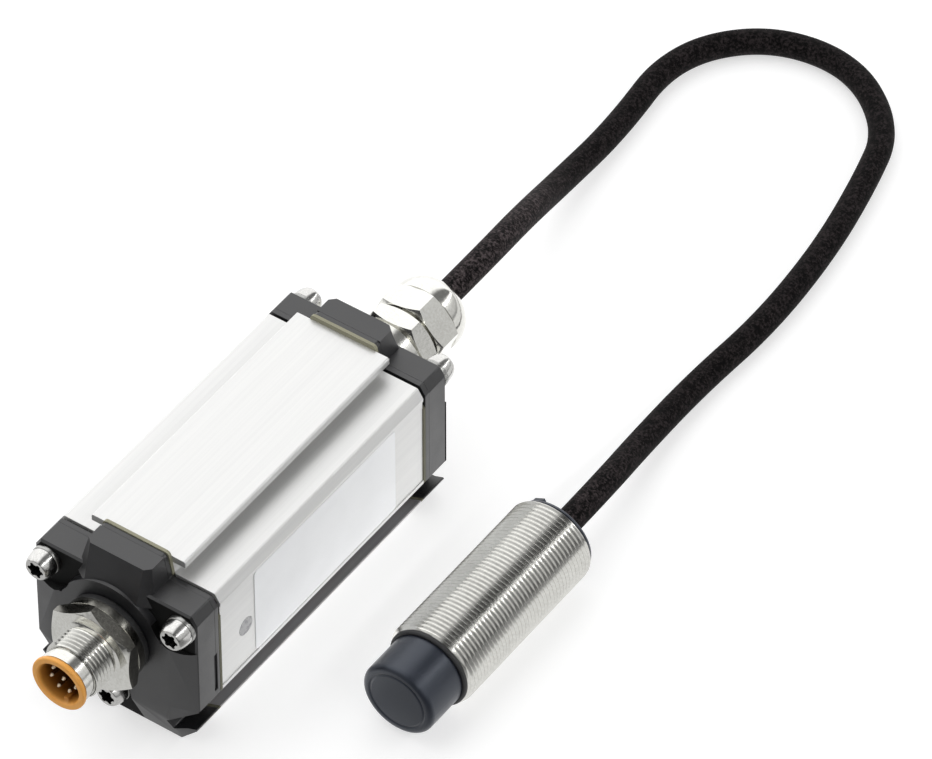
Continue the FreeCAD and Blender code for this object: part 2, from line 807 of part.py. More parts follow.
def on_head(points):
    return turned(points, head_offset, head_height)


def head_rod(radius, y_from, y_to):
    return rod(radius, y_from, y_to, head_offset, head_height)


def sensor_barrel():
    """Threaded tube; the thread is left as its outer diameter."""
    chamfer = barrel_end_chamfer
    return on_head([
        (barrel_bore_radius, barrel_front), (barrel_radius - chamfer, barrel_front),
        (barrel_radius, barrel_front + chamfer), (barrel_radius, barrel_rear - chamfer),
        (barrel_radius - chamfer, barrel_rear), (barrel_bore_radius, barrel_rear),
    ])


def sensing_cap():
    """Plastic cup in the barrel's bore, with a fine ring line on its face."""
    face = barrel_front - cap_reach
    rear = barrel_front + cap_insertion
    x, z = head_offset, head_height
    inner = cap_radius - cap_cup_wall
    corner = cap_face_round * (1 - math.sqrt(0.5))
    arc = Part.Arc(V(x + cap_radius, face + cap_face_round, z), V(x + cap_radius - corner, face + corner, z),
                   V(x + cap_radius - cap_face_round, face, z)).toShape()
    ends = [V(x + r, y, z) for r, y in [
        (cap_radius - cap_face_round, face), (cap_ring_radius + cap_ring_width, face),
        (cap_ring_radius, face + cap_ring_depth), (cap_ring_radius - cap_ring_width, face), (0, face),
        (0, face + cap_face_thickness), (inner, face + cap_face_thickness), (inner, rear),
        (cap_radius, rear), (cap_radius, face + cap_face_round)]]
    lines = [Part.LineSegment(a, b).toShape() for a, b in zip(ends, ends[1:])]
    return Part.Face(Part.Wire([arc] + lines)).revolve(V(x, 0, z), ALONG, 360)


def head_seal_ring():
    bead = 0.25
    inner = cap_radius + slide_clearance / 2
    front = barrel_front - seal_ring_width
    return on_head([(inner, barrel_front), (inner, front), (seal_ring_radius - bead, front),
                    (seal_ring_radius, front + bead), (seal_ring_radius, barrel_front)])


def electrode_back():
    return barrel_front - cap_reach + cap_face_thickness + electrode_thickness


def sensing_electrode():
    return head_rod(electrode_radius, electrode_back() - electrode_thickness, electrode_back())


def guard_ring():
    """Thin metal ring round the electrode, which shields it towards the sides."""
    front = electrode_back() - electrode_thickness
    outer = cap_radius - cap_cup_wall - slide_clearance
    inner = electrode_radius + guard_gap
    return on_head([(inner, front), (outer, front), (outer, front + guard_length), (inner, front + guard_length)])


def electrode_spacer():
    """Insulating disc that carries the electrode and the head's board."""
    radius = electrode_radius + guard_gap - slide_clearance
    return head_rod(radius, electrode_back(), electrode_back() + spacer_thickness)


def head_board():
    front = electrode_back() + spacer_thickness
    return Part.makeBox(head_board_width, head_board_length, head_board_thickness,
                        V(head_offset - head_board_width / 2, front, head_height - head_board_thickness / 2))


def head_potting():
    """Cast resin behind the cap: it fills the barrel round the board."""
    start = barrel_front + cap_insertion
    end = barrel_rear - plug_length
    resin = head_rod(barrel_bore_radius, start, end)
    tail = head_rod(cable_radius, head_board().BoundBox.YMax, end)
    return resin.cut(head_board()).cut(tail)


def head_cable_tail():
    """The cable's end inside the head, from the board to the bush's face."""
    start = head_board().BoundBox.YMax
    return head_rod(cable_radius, start, plug_face + bush_length)


def barrel_plug():
    """Plastic end plug with a thin rim over the barrel and a small tab for turning it."""
    inner = cable_radius + slide_clearance
    start = barrel_rear - plug_length
    rim_start = barrel_rear
    plug = on_head([
        (inner, start), (barrel_bore_radius - slide_clearance, start),
        (barrel_bore_radius - slide_clearance, rim_start), (plug_rim_radius, rim_start),
        (plug_rim_radius - 0.2, plug_face), (inner, plug_face),
    ])
    tab = Part.makeBox(plug_tab_height, plug_tab_length + 0.2, plug_tab_width,
                       V(head_offset + plug_rim_radius - 0.3 - plug_tab_height, plug_face - 0.2,
                         head_height - plug_tab_width / 2))
    tab.rotate(V(head_offset, 0, head_height), ALONG, -plug_tab_angle)
    return plug.fuse(tab)


def cable_bush():
    inner = cable_radius + slide_clearance / 2
    end = plug_face + bush_length
    return on_head([(inner, plug_face), (bush_radius, plug_face), (bush_radius, end - 0.5),
                    (bush_radius - 0.4, end), (inner, end)])


def cable():
    """The free cable: straight runs joined by tangent arcs as wide as the runs allow."""
    points = [V(*p) for p in cable_route]
    edges = []
    last = points[0]
    radii = []
    for i in range(1, len(points) - 1):
        corner = points[i]
        back = points[i - 1] - corner
        ahead = points[i + 1] - corner
        reach = 0.45 * min(back.Length, ahead.Length)
        back.normalize()
        ahead.normalize()
        half_turn = (math.pi - back.getAngle(ahead)) / 2
        radius = reach / math.tan(half_turn)
        radii.append(radius)
        inward = (back + ahead).normalize()
        centre = corner + inward * math.hypot(radius, reach)
        start = corner + back * reach
        end = corner + ahead * reach
        edges.append(Part.LineSegment(last, start).toShape())
        edges.append(Part.Arc(start, centre - inward * radius, end).toShape())
        last = end
    edges.append(Part.LineSegment(last, points[-1]).toShape())
    path = Part.Wire(edges)
    section = Part.Wire([Part.Circle(points[0], ALONG, cable_radius).toShape()])
    tube = path.makePipeShell([section], True, False)
    print("cable bend radii:", ", ".join(f"{r:.1f}" for r in radii))
    print(f"cable length {path.Length:.1f}, volume {tube.Volume:.1f},",
          f"section times length {math.pi * cable_radius ** 2 * path.Length:.1f}")
    return tube


def nodes():
    """Every separate piece, by the name of its node."""
    return {
        "housing_profile": housing_profile(),
        "front_gasket": gasket(),
        "front_seal_plate": seal_plate(),
        "front_cap": end_cap(),
        "front_cap_screws": Part.makeCompound([cap_screw(x, z) for x, z in screw_places]),
        "front_lock_washers": Part.makeCompound([lock_washer(x, z) for x, z in screw_places]),
        "rear_gasket": at_gland(gasket()),
        "rear_seal_plate": at_gland(seal_plate()),
        "rear_cap": at_gland(end_cap()),
        "rear_cap_screws": at_gland(Part.makeCompound([cap_screw(x, z) for x, z in screw_places])),
        "rear_lock_washers": at_gland(Part.makeCompound([lock_washer(x, z) for x, z in screw_places])),
        "connector_seal": connector_seal(),
        "connector_shell": connector_shell(),
        "connector_locknut": locknut(),
        "connector_insert": connector_insert(),
        "connector_carrier": pin_carrier(),
        "connector_pins": connector_pins(),
        "connector_leads": connector_leads(),
        "gland_gasket": at_gland(gland_gasket()),
        "gland_body": at_gland(gland_body()),
        "gland_locknut": at_gland(locknut()),
        "gland_bush": at_gland(gland_bush()),
        "gland_nut": at_gland(gland_nut()),
        "cable_entry": at_gland(cable_entry()),
        "circuit_board": circuit_board(),
        "plug_header": board_header(),
        "cable_header": at_gland(board_header()),
        "board_components": board_components(),
        "status_led": status_led(),
        "led_window": led_window(),
        "side_foil": side_foil(),
        "sensor_barrel": sensor_barrel(),
        "sensing_cap": sensing_cap(),
        "head_seal_ring": head_seal_ring(),
        "sensing_electrode": sensing_electrode(),
        "guard_ring": guard_ring(),
        "electrode_spacer": electrode_spacer(),
        "head_board": head_board(),
        "head_potting": head_potting(),
        "head_cable_tail": head_cable_tail(),
        "barrel_plug": barrel_plug(),
        "cable_bush": cable_bush(),
        "cable": cable(),
    }


os.makedirs("parts", exist_ok=True)
for node_name, node_shape in nodes().items():
    assert node_shape.isValid() and node_shape.Volume > 0, node_name
    node_shape.exportStep(f"parts/{node_name}.step")
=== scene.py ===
import math

import bmesh
import bpy
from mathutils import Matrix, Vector


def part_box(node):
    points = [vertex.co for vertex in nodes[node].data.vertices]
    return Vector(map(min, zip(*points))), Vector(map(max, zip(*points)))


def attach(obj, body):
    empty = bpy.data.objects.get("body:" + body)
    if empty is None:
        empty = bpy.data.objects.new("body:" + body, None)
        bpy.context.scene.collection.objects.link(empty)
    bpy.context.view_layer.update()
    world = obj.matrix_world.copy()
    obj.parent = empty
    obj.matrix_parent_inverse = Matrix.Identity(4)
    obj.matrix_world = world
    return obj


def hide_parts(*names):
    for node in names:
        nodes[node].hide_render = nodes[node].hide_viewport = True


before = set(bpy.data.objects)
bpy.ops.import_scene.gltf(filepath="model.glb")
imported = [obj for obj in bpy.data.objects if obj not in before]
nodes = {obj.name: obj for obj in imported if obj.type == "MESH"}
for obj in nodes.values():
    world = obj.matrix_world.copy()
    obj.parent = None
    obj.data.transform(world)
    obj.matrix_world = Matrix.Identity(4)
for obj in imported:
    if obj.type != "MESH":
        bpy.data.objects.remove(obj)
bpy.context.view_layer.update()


# The camera stands in front of the plug, to its right and well above it. It is far away and its lens is
# long, so that the housing's parallel edges stay nearly parallel.
MM = 0.001
azimuth = math.radians(35.08)
elevation = math.radians(45.47)
target = Vector((12.23, 52.72, 15.0)) * MM
distance = 1.5
towards_camera = Vector((math.sin(azimuth) * math.cos(elevation), -math.cos(azimuth) * math.cos(elevation),
                         math.sin(elevation)))
camera_data = bpy.data.cameras.new("camera")
camera_data.sensor_width = 36.0
camera_data.lens = 313.4
camera = bpy.data.objects.new("camera", camera_data)
camera.location = target + towards_camera * distance
camera.rotation_euler = towards_camera.to_track_quat("Z", "Y").to_euler()
bpy.context.scene.collection.objects.link(camera)
bpy.context.scene.camera = camera


# The cable is a round cord in a dull black jacket with a fibrous grain. It leaves the gland straight,
# sinks to the surface, turns round in a wide loop and runs through a bush into the back of the head.
CABLE_RADIUS = 2.6
cable_route = [
    (0.0, 62.75, 21.0), (0.0, 76.8, 21.0), (-3.7, 94.0, 15.0), (-9.4, 114.8, 4.4),
    (-10.0, 134.8, CABLE_RADIUS), (-12.8, 158.0, CABLE_RADIUS), (-1.0, 173.4, CABLE_RADIUS),
    (17.6, 176.2, CABLE_RADIUS), (33.0, 165.0, CABLE_RADIUS), (37.4, 149.5, CABLE_RADIUS),
    (41.2, 129.8, CABLE_RADIUS), (42.8, 107.4, CABLE_RADIUS), (41.2, 86.4, CABLE_RADIUS),
    (42.2, 66.4, 4.4), (45.1, 49.6, 9.0), (45.1, 35.6, 9.0),
]
cable_curve = bpy.data.curves.new("cable", "CURVE")
cable_curve.dimensions = "3D"
# The round section has a radius of 1, and each point's own radius brings it to the cable's.
cable_curve.bevel_depth = 1.0
cable_curve.bevel_resolution = 10
cable_curve.use_fill_caps = True
spline = cable_curve.splines.new("NURBS")
spline.points.add(len(cable_route) - 1)
for point, place in zip(spline.points, cable_route):
    point.co = (*(v * MM for v in place), 1.0)
    point.radius = CABLE_RADIUS * MM
spline.order_u = 3
spline.use_endpoint_u = True
spline.resolution_u = 24
cable = bpy.data.objects.new("cable_line", cable_curve)
bpy.context.scene.collection.objects.link(cable)
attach(cable, "root")
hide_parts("cable")


class Socket:
    """A value in a node tree. Ordinary arithmetic on it adds Math nodes."""

    def __init__(self, look, output):
        self.look = look
        self.output = output

    def math(self, operation, *values):
        return self.look.node("Math", {"operation": operation}, dict(enumerate((self, *values))))

    def __add__(self, other):
        return self.math("ADD", other)

    def __sub__(self, other):
        return self.math("SUBTRACT", other)

    def __rsub__(self, other):
        return self.look.node("Math", {"operation": "SUBTRACT"}, {0: other, 1: self})

    def __mul__(self, other):
        return self.math("MULTIPLY", other)

    __radd__ = __add__
    __rmul__ = __mul__

    def spread(self, low, high, new_low=0.0, new_high=1.0):
        """A smooth step from one value at the low end to another at the high end."""
        return self.look.node("MapRange", {"interpolation_type": "SMOOTHSTEP"}, {
            "Value": self, "From Min": low, "From Max": high, "To Min": new_low, "To Max": new_high,
        }, "Result")

    def colours(self, low, high):
        return self.look.node("Mix", {"data_type": "RGBA"}, {
            "Factor": self, "A": (*low, 1.0), "B": (*high, 1.0)}, "Result")


class Look:
    """The node tree of a material or of the world. Its noise and places are in millimetres."""

    def __init__(self, owner, shader="Principled BSDF"):
        owner.use_nodes = True
        self.owner = owner
        self.tree = owner.node_tree
        self.shader = self.tree.nodes[shader]

    def node(self, kind, settings, sockets, result=0):
        """What a new node gives. Its settings come first, then the values or links of its sockets."""
        node = self.tree.nodes.new("ShaderNode" + kind)
        for name, value in settings.items():
            setattr(node, name, value)
        self.fill(node, sockets)
        return Socket(self, node.outputs[result])

    def fill(self, node, sockets):
        for name, value in sockets.items():
            if isinstance(value, Socket):
                self.tree.links.new(value.output, node.inputs[name])
            else:
                node.inputs[name].default_value = value

    def shade(self, sockets):
        self.fill(self.shader, sockets)

    def noise(self, scale, stretch=(1.0, 1.0, 1.0), detail=3.0, rough=0.55):
        """Noise with this many features per millimetre, drawn out along an axis where stretch is small."""
        place = self.node("TexCoord", {}, {}, "Object")
        place = self.node("Mapping", {}, {"Vector": place, "Scale": [s / MM for s in stretch]}, "Vector")
        return self.node("TexNoise", {}, {
            "Vector": place, "Scale": scale, "Detail": detail, "Roughness": rough}, "Fac")

    def along(self, axis):
        """The object's own X, Y or Z in millimetres."""
        place = self.node("TexCoord", {}, {}, "Object")
        return self.node("SeparateXYZ", {}, {"Vector": place}, axis) * (1.0 / MM)

    def relief(self, height, depth):
        """Small bumps, this many millimetres deep."""
        self.shade({"Normal": self.node("Bump", {}, {
            "Strength": 1.0, "Distance": depth * MM, "Height": height}, "Normal")})


def dress(piece, skin):
    piece.data.materials.clear()
    piece.data.materials.append(skin.owner)


jacket_skin = Look(bpy.data.materials.new("cable_sleeve"))
fibres = jacket_skin.noise(1.7, detail=4.0, rough=0.75)
patches = jacket_skin.noise(0.5)
# Painted shade: the jacket is painted darker where the cable runs low, near the floor.
shade_painted_near_floor = jacket_skin.along("Z").spread(5.0, 18.0, 0.33, 1.0)
jacket_skin.shade({
    "Base Color": ((fibres * 0.8 + patches * 0.2).spread(0.42, 0.66) * shade_painted_near_floor).colours(
        (0.001, 0.001, 0.001), (0.085, 0.069, 0.071)),
    "Roughness": fibres.spread(0.3, 0.7, 0.6, 0.85),
    "Specular IOR Level": 0.06,
})
jacket_skin.relief(fibres, 0.08)
dress(cable, jacket_skin)
for node in ("cable_entry", "head_cable_tail"):
    dress(nodes[node], jacket_skin)


# The housing is natural anodised aluminium, drawn through a die, so its grain and its faint streaks run
# lengthwise. The lip under each clamp notch is painted darker, as painted shade from the notch above it.
# All its hard edges are slightly broken.
LENGTHWISE = (1.0, 0.012, 1.0)
LIP_LOW = 1.0
LIP_HIGH = 4.6
LIP_FROM_MIDDLE = 7.0


def finished(name, bm, slot_name, skin, *replaced, sharp_degrees=35.0):
    """A mesh made into a piece of the model, with smooth shading that keeps flat faces flat."""
    mesh = bpy.data.meshes.new(name)
    bm.to_mesh(mesh)
    bm.free()
    for face in mesh.polygons:
        face.use_smooth = True
    mesh.set_sharp_from_angle(angle=math.radians(sharp_degrees))
    piece = bpy.data.objects.new(name, mesh)
    bpy.context.scene.collection.objects.link(piece)
    weighted = piece.modifiers.new("flat_faces", "WEIGHTED_NORMAL")
    weighted.keep_sharp = True
    weighted.weight = 100
    dress(piece, skin)
    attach(piece, "root")
    if replaced:
        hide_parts(*replaced)
    return piece


def softened(node, name, width, slot_name, skin, segments=2, reshape=None, hard_degrees=28.0):
    """A copy of a CAD node in its place, with its flat faces joined and its hard edges rounded."""
    weld = 0.001 * MM
    flat_degrees = 0.6
    bm = bmesh.new()
    bm.from_mesh(nodes[node].data)
    bmesh.ops.remove_doubles(bm, verts=bm.verts, dist=weld)
    if reshape:
        reshape(bm)
    bmesh.ops.dissolve_limit(bm, angle_limit=math.radians(flat_degrees), verts=bm.verts, edges=bm.edges)
    hard = [edge for edge in bm.edges
            if len(edge.link_faces) == 2 and edge.calc_face_angle(0.0) > math.radians(hard_degrees)]
    bmesh.ops.bevel(bm, geom=hard, offset=width * MM, offset_type="OFFSET", affect="EDGES",
                    segments=segments, profile=0.5, material=-1, clamp_overlap=True)
    return finished(name, bm, slot_name, skin, node)


def paint(piece, skin, chosen):
    """A second look on the faces whose middle, in millimetres, and direction are chosen."""
    piece.data.materials.append(skin.owner)
    for face in piece.data.polygons:
        if chosen(face.center / MM, face.normal):
            face.material_index = len(piece.data.materials) - 1


def metal(name, dark, light, rough_low, rough_high, grain=(1.0, 1.0, 1.0), scale=2.5, metallic=1.0):
    """Metal with a fine grain that may run along one axis."""
    skin = Look(bpy.data.materials.new(name))
    fine = skin.noise(scale, grain, 4.0)
    broad = skin.noise(0.12, detail=2.0)
    skin.shade({
        "Base Color": (fine * 0.6 + broad * 0.4).spread(0.3, 0.7).colours(dark, light),
        "Roughness": (fine * 0.5 + broad * 0.5).spread(0.3, 0.7, rough_low, rough_high),
        "Metallic": metallic,
    })
    skin.relief(fine, 0.004)
    return skin


def on_notch_lip(place, facing):
    """Whether a face is the upper side of the lip under a clamp notch."""
    return LIP_LOW < place.z < LIP_HIGH and abs(place.x) > LIP_FROM_MIDDLE and facing.z > 0.2


housing_skin = Look(bpy.data.materials.new("housing_aluminium"))
streaks = housing_skin.noise(1.6, LENGTHWISE, 5.0, 0.65)
wide_streaks = housing_skin.noise(0.35, (1.0, 0.02, 1.0), 2.0)
grit = housing_skin.noise(9.0)
housing_skin.shade({
    "Base Color": (streaks * 0.55 + wide_streaks * 0.3 + grit * 0.15).spread(0.3, 0.7).colours(
        (0.655, 0.655, 0.65), (0.725, 0.725, 0.715)),
    "Roughness": (streaks * 0.7 + grit * 0.3).spread(0.3, 0.7, 0.34, 0.44),
    "Metallic": 0.6,
})
housing_skin.relief(streaks * 0.8 + grit * 0.2, 0.02)
housing = softened("housing_profile", "housing_body", 0.12, "housing", housing_skin)
# Painted shade: the upper side of each notch lip gets a darker metal for the shade under the notch.
notch_shade_skin = metal("housing_notch_painted_shade", (0.36, 0.355, 0.365), (0.43, 0.425, 0.435), 0.4, 0.5, LENGTHWISE,
                   metallic=0.6)
paint(housing, notch_shade_skin, on_notch_lip)


# The side foil is a thin stiff sheet of plastic, matte, pale and faintly bluish. It is glued into the
# shallow recess of the housing's side.
foil_skin = Look(bpy.data.materials.new("foil_sheet"))
speckle = foil_skin.noise(12.0, detail=2.0)
haze = foil_skin.noise(0.12)
foil_skin.shade({
    "Base Color": (speckle * 0.35 + haze * 0.65).spread(0.3, 0.7).colours(
        (0.90, 0.91, 0.925), (0.955, 0.965, 0.98)),
    "Roughness": speckle.spread(0.3, 0.7, 0.46, 0.56),
    "Metallic": 0.1,
})
foil_skin.relief(speckle, 0.004)
dress(nodes["side_foil"], foil_skin)


# The lamp's window is a small round plug of cloudy gray plastic. It is pressed into the side wall from
# inside and ends flush with the recess.
window_skin = Look(bpy.data.materials.new("lamp_window"))
milk = window_skin.noise(1.2)
window_skin.shade({
    "Base Color": milk.spread(0.3, 0.7).colours((0.30, 0.30, 0.31), (0.42, 0.42, 0.43)),
    "Roughness": milk.spread(0.3, 0.7, 0.22, 0.36),
})
window_skin.relief(milk, 0.01)
dress(nodes["led_window"], window_skin)


# The gaskets are sheets cut from fibrous seal material, squeezed between the housing and the sealing
# plates. Their edge is painted by height as painted light and shade: pale olive at the hump, a darker
# olive low on the sides, and near black along the shoulders, as painted shade in the seam.
gasket_skin = Look(bpy.data.materials.new("gasket_sheet"))
fibre = gasket_skin.noise(6.0)
height = gasket_skin.along("Z")
hump_painted_light = height.spread(33.1, 33.8)
sides_painted_light = height.spread(28.6, 29.2, 0.45, 0.0)
# Painted light and shade: the edge runs from near black at the shoulders to pale olive at the hump.
gasket_skin.shade({
    "Base Color": ((hump_painted_light + sides_painted_light) * (fibre * 0.5 + 0.75)).colours(
        (0.012, 0.012, 0.011), (0.30, 0.29, 0.21)),
    "Roughness": fibre.spread(0.3, 0.7, 0.6, 0.8),
    "Specular IOR Level": 0.2,
})
gasket_skin.relief(fibre, 0.02)
for node in ("front_gasket", "rear_gasket"):
    dress(nodes[node], gasket_skin)


# The caps and the sealing plates behind them are moulded from black plastic, with a fine eroded grain
# that turns gray where light grazes it. Three screws hold each cap, in hollows painted darker as painted
# shade.
SCREW_AXES = ((-14.9, 29.6), (14.9, 29.6), (0.0, 5.6))
POCKET_RADII = (6.1, 6.1, 4.4)
POCKET_FLOOR = (38.3, 39.9)


def plastic(name, dark, light, rough_low, rough_high, scale=5.0, bump=0.02, gloss=0.5):
    """Moulded plastic or rubber with a fine eroded grain and a faint cloudy tone."""
    skin = Look(bpy.data.materials.new(name))
    fine = skin.noise(scale, detail=4.0, rough=0.6)
    broad = skin.noise(0.25)
    skin.shade({
        "Base Color": (fine * 0.5 + broad * 0.5).spread(0.32, 0.68).colours(dark, light),
        "Roughness": (fine * 0.4 + broad * 0.6).spread(0.3, 0.7, rough_low, rough_high),
        "Specular IOR Level": gloss,
    })
    skin.relief(fine, bump)
    return skin


def in_pocket(place, facing):
    """Whether a face lies in one of the hollows round the cap screws."""
    inside = any(math.hypot(place.x - x, place.z - z) < radius
                 for (x, z), radius in zip(SCREW_AXES, POCKET_RADII))
    return inside and POCKET_FLOOR[0] < abs(place.y) < POCKET_FLOOR[1]


cap_skin = plastic("cap_moulding", (0.007, 0.007, 0.008), (0.013, 0.013, 0.015), 0.34, 0.44,
                   bump=0.012, gloss=0.8)
# Painted shade: the hollows round the screws get a darker, duller plastic.
pocket_shade_skin = plastic("cap_pockets_painted_shade", (0.003, 0.003, 0.003), (0.007, 0.007, 0.007), 0.6, 0.75,
                      bump=0.012, gloss=0.15)
for end in ("front", "rear"):
    cap = softened(f"{end}_cap", f"{end}_cap_moulding", 0.18, "cap_plastic", cap_skin)
    paint(cap, pocket_shade_skin, in_pocket)
for end in ("front", "rear"):
    softened(f"{end}_seal_plate", f"{end}_plate_moulding", 0.12, "cap_plastic", cap_skin)


# The cap screws are stainless, with a bright domed head and a six-lobed socket painted dark as shade. Each
# is screwed into a port of the housing and sits on a duller stainless washer.
WASHER_FACE = 39.35
SCREW_HEAD_HEIGHT = 2.9
SCREW_HEAD_RADII = (1.95, 3.0)
CROWN_RADIUS = 2.05
CROWN_FACE = 42.2
DOME_WIDTH = 0.8
DOME_CUTS = 5
FIRST_CUT = 39.7
CUT_STEP = 0.3
SOCKET_REACH = 1.8


def in_socket(place, facing):
    """Whether a face lies in the lobed hollow of a screw's head."""
    return (any(math.hypot(place.x - x, place.z - z) < SOCKET_REACH for x, z in SCREW_AXES)
            and abs(place.y) < CROWN_FACE)


def to_domes(bm):
    """The heads' straight sides become domes that start at the washer."""
    for k in range(DOME_CUTS):
        for side in (-1, 1):
            cut = side * (FIRST_CUT + CUT_STEP * k) * MM
            bmesh.ops.bisect_plane(bm, geom=bm.verts[:] + bm.edges[:] + bm.faces[:], dist=0.001 * MM,
                                   plane_co=(0.0, cut, 0.0), plane_no=(0.0, 1.0, 0.0))
    for v in bm.verts:
        rise = (abs(v.co.y) / MM - WASHER_FACE) / SCREW_HEAD_HEIGHT
        for x, z in SCREW_AXES:
            spoke = Vector((v.co.x - x * MM, 0.0, v.co.z - z * MM))
            if SCREW_HEAD_RADII[0] < spoke.length / MM < SCREW_HEAD_RADII[1] and 0.0 < rise <= 1.0:
                wanted = CROWN_RADIUS + DOME_WIDTH * (1.0 - rise ** 2.2) ** 0.65
                v.co = Vector((x * MM, v.co.y, z * MM)) + spoke.normalized() * wanted * MM


screw_skin = metal("stainless_screw", (0.50, 0.495, 0.48), (0.64, 0.635, 0.62), 0.14, 0.24, scale=3.0)
# Painted shade: each screw's lobed socket gets a near black metal.
socket_shade_skin = metal("screw_socket_painted_shade", (0.012, 0.012, 0.012), (0.03, 0.03, 0.03), 0.4, 0.6, scale=3.0)
washer_skin = metal("stainless_washer", (0.30, 0.30, 0.29), (0.42, 0.42, 0.41), 0.24, 0.34, scale=4.0)
for end in ("front", "rear"):
    screws = softened(f"{end}_cap_screws", f"{end}_screw_set", 0.06, "steel", screw_skin, reshape=to_domes,
                      hard_degrees=55.0)
    paint(screws, socket_shade_skin, in_socket)
    softened(f"{end}_lock_washers", f"{end}_washer_set", 0.1, "washer_steel", washer_skin)


# The head's barrel is a tube of nickel-plated brass with a fine thread from end to end. The thread runs
# out into a chamfer at both ends.
HEAD_X = 45.1
HEAD_Z = 9.0


def threaded_sleeve(x, z, start, end, radius, bore, pitch, depth, chamfer, columns):
    """A closed sleeve with one helical ridge, which has a flat crest, two flanks and a round root."""
    drops = (0.0, 0.12, 0.72, 1.0, 0.88, 0.28)
    weld = 0.002
    rings = (math.ceil((end - start) / pitch) + 2) * len(drops)
    bm = bmesh.new()
    line = []
    for k in range(rings + 1):
        ridge = radius - depth * drops[k % len(drops)]
        line.append(bm.verts.new((x, start - pitch + pitch * k / len(drops), z + ridge)))
    line += [bm.edges.new(ends) for ends in zip(line, line[1:])]
    bmesh.ops.spin(bm, geom=line, cent=(x, 0.0, z), axis=(0.0, 1.0, 0.0), angle=2 * math.pi,
                   dvec=(0.0, pitch / columns, 0.0), steps=columns, use_duplicate=False)
    for v in bm.verts:
        y = min(max(v.co.y, start), end)
        spoke = Vector((v.co.x - x, 0.0, v.co.z - z))
        widest = radius - chamfer + min(y - start, end - y)
        v.co = Vector((x, y, z)) + spoke.normalized() * min(spoke.length, widest)
    bmesh.ops.remove_doubles(bm, verts=bm.verts, dist=weld)
    rims = [edge for edge in bm.edges if edge.is_boundary]
    for v in bmesh.ops.extrude_edge_only(bm, edges=rims)["geom"]:
        if isinstance(v, bmesh.types.BMVert):
            spoke = Vector((v.co.x - x, 0.0, v.co.z - z))
            v.co = Vector((x, v.co.y, z)) + spoke.normalized() * bore
    bmesh.ops.bridge_loops(bm, edges=[edge for edge in bm.edges if edge.is_boundary])
    bmesh.ops.scale(bm, vec=(MM, MM, MM), verts=bm.verts)
    bmesh.ops.recalc_face_normals(bm, faces=bm.faces)
    return bm


nickel_skin = metal("nickel_plate", (0.62, 0.615, 0.58), (0.73, 0.725, 0.69), 0.12, 0.2, scale=2.0)
barrel_low, barrel_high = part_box("sensor_barrel")
barrel = threaded_sleeve(HEAD_X, HEAD_Z, barrel_low.y / MM, barrel_high.y / MM, radius=9.0, bore=7.75,
                         pitch=1.0, depth=0.5, chamfer=0.75, columns=96)
finished("barrel_thread", barrel, "nickel", nickel_skin, "sensor_barrel", sharp_degrees=50.0)


# The plug's shell is turned from nickel-plated brass, with its flange's edge and its hexagon's flats
# painted dark as a painted reflection, and a locknut in the cap holds it. Its plain cylinder is drawn in
# to the thread's root, under a threaded sleeve.
AXIS_HEIGHT = 21.0
THREAD_START = -51.95
THREAD_END = -46.75
THREAD_RADIUS = 6.0
THREAD_ROOT = 5.4
HEXAGON_FRONT = -46.2
HEXAGON_INSIDE = 7.8


def to_thread_root(bm):
    """The plain cylinder between the shoulder and the neck becomes as thin as the thread's root."""
    radial_slack = 0.03
    end_slack = 0.01
    for v in bm.verts:
        spoke = Vector((v.co.x, 0.0, v.co.z - AXIS_HEIGHT * MM))
        on_cylinder = abs(spoke.length / MM - THREAD_RADIUS) < radial_slack
        if on_cylinder and THREAD_START - end_slack < v.co.y / MM < THREAD_END + end_slack:
            v.co = Vector((0.0, v.co.y, AXIS_HEIGHT * MM)) + spoke.normalized() * (THREAD_ROOT * MM)


def on_flats(place, facing):
    """Whether a face is a flat of the hexagon or the flange's round edge."""
    from_axis = math.hypot(place.x, place.z - AXIS_HEIGHT)
    return from_axis > HEXAGON_INSIDE and place.y > HEXAGON_FRONT and abs(facing.y) < 0.3


# Painted reflection: the hexagon's flats and the flange's edge get a dark nickel.
flats_reflection_skin = metal("nickel_flats_painted_reflection", (0.15, 0.145, 0.13), (0.24, 0.235, 0.215), 0.14, 0.24, scale=2.0)
shell = softened("connector_shell", "plug_shell", 0.09, "nickel", nickel_skin, reshape=to_thread_root)
paint(shell, flats_reflection_skin, on_flats)
plug_thread = threaded_sleeve(0.0, AXIS_HEIGHT, THREAD_START, THREAD_END, THREAD_RADIUS, bore=5.35,
                              pitch=0.9, depth=0.5, chamfer=0.35, columns=72)
finished("plug_thread_sleeve", plug_thread, "nickel", nickel_skin, sharp_degrees=50.0)


# The plug's insert is moulded from orange plastic and pressed into the shell. Its cup is painted darker
# than its smooth flared rim, with painted shade that deepens towards the floor of the cup.
insert_skin = Look(bpy.data.materials.new("insert_moulding"))
cloud = insert_skin.noise(3.0)
across = insert_skin.along("X")
above = insert_skin.along("Z") - AXIS_HEIGHT
outward = (across * across + above * above).math("SQRT").spread(4.15, 4.9)
mouth = insert_skin.along("Y").spread(-55.6, -52.6, 0.45, 0.0)
# Painted shade: the cup goes from orange at the rim and mouth to dark brown deep inside.
insert_skin.shade({
    "Base Color": ((outward + mouth).math("MINIMUM", 1.0) * (cloud * 0.3 + 0.85)).colours(
        (0.20, 0.062, 0.005), (0.86, 0.40, 0.08)),
    "Roughness": cloud.spread(0.3, 0.7, 0.34, 0.46),
    "Specular IOR Level": 0.35,
})
insert_skin.relief(cloud, 0.006)
softened("connector_insert", "plug_insert", 0.12, "insert_plastic", insert_skin)
dress(nodes["connector_carrier"], insert_skin)


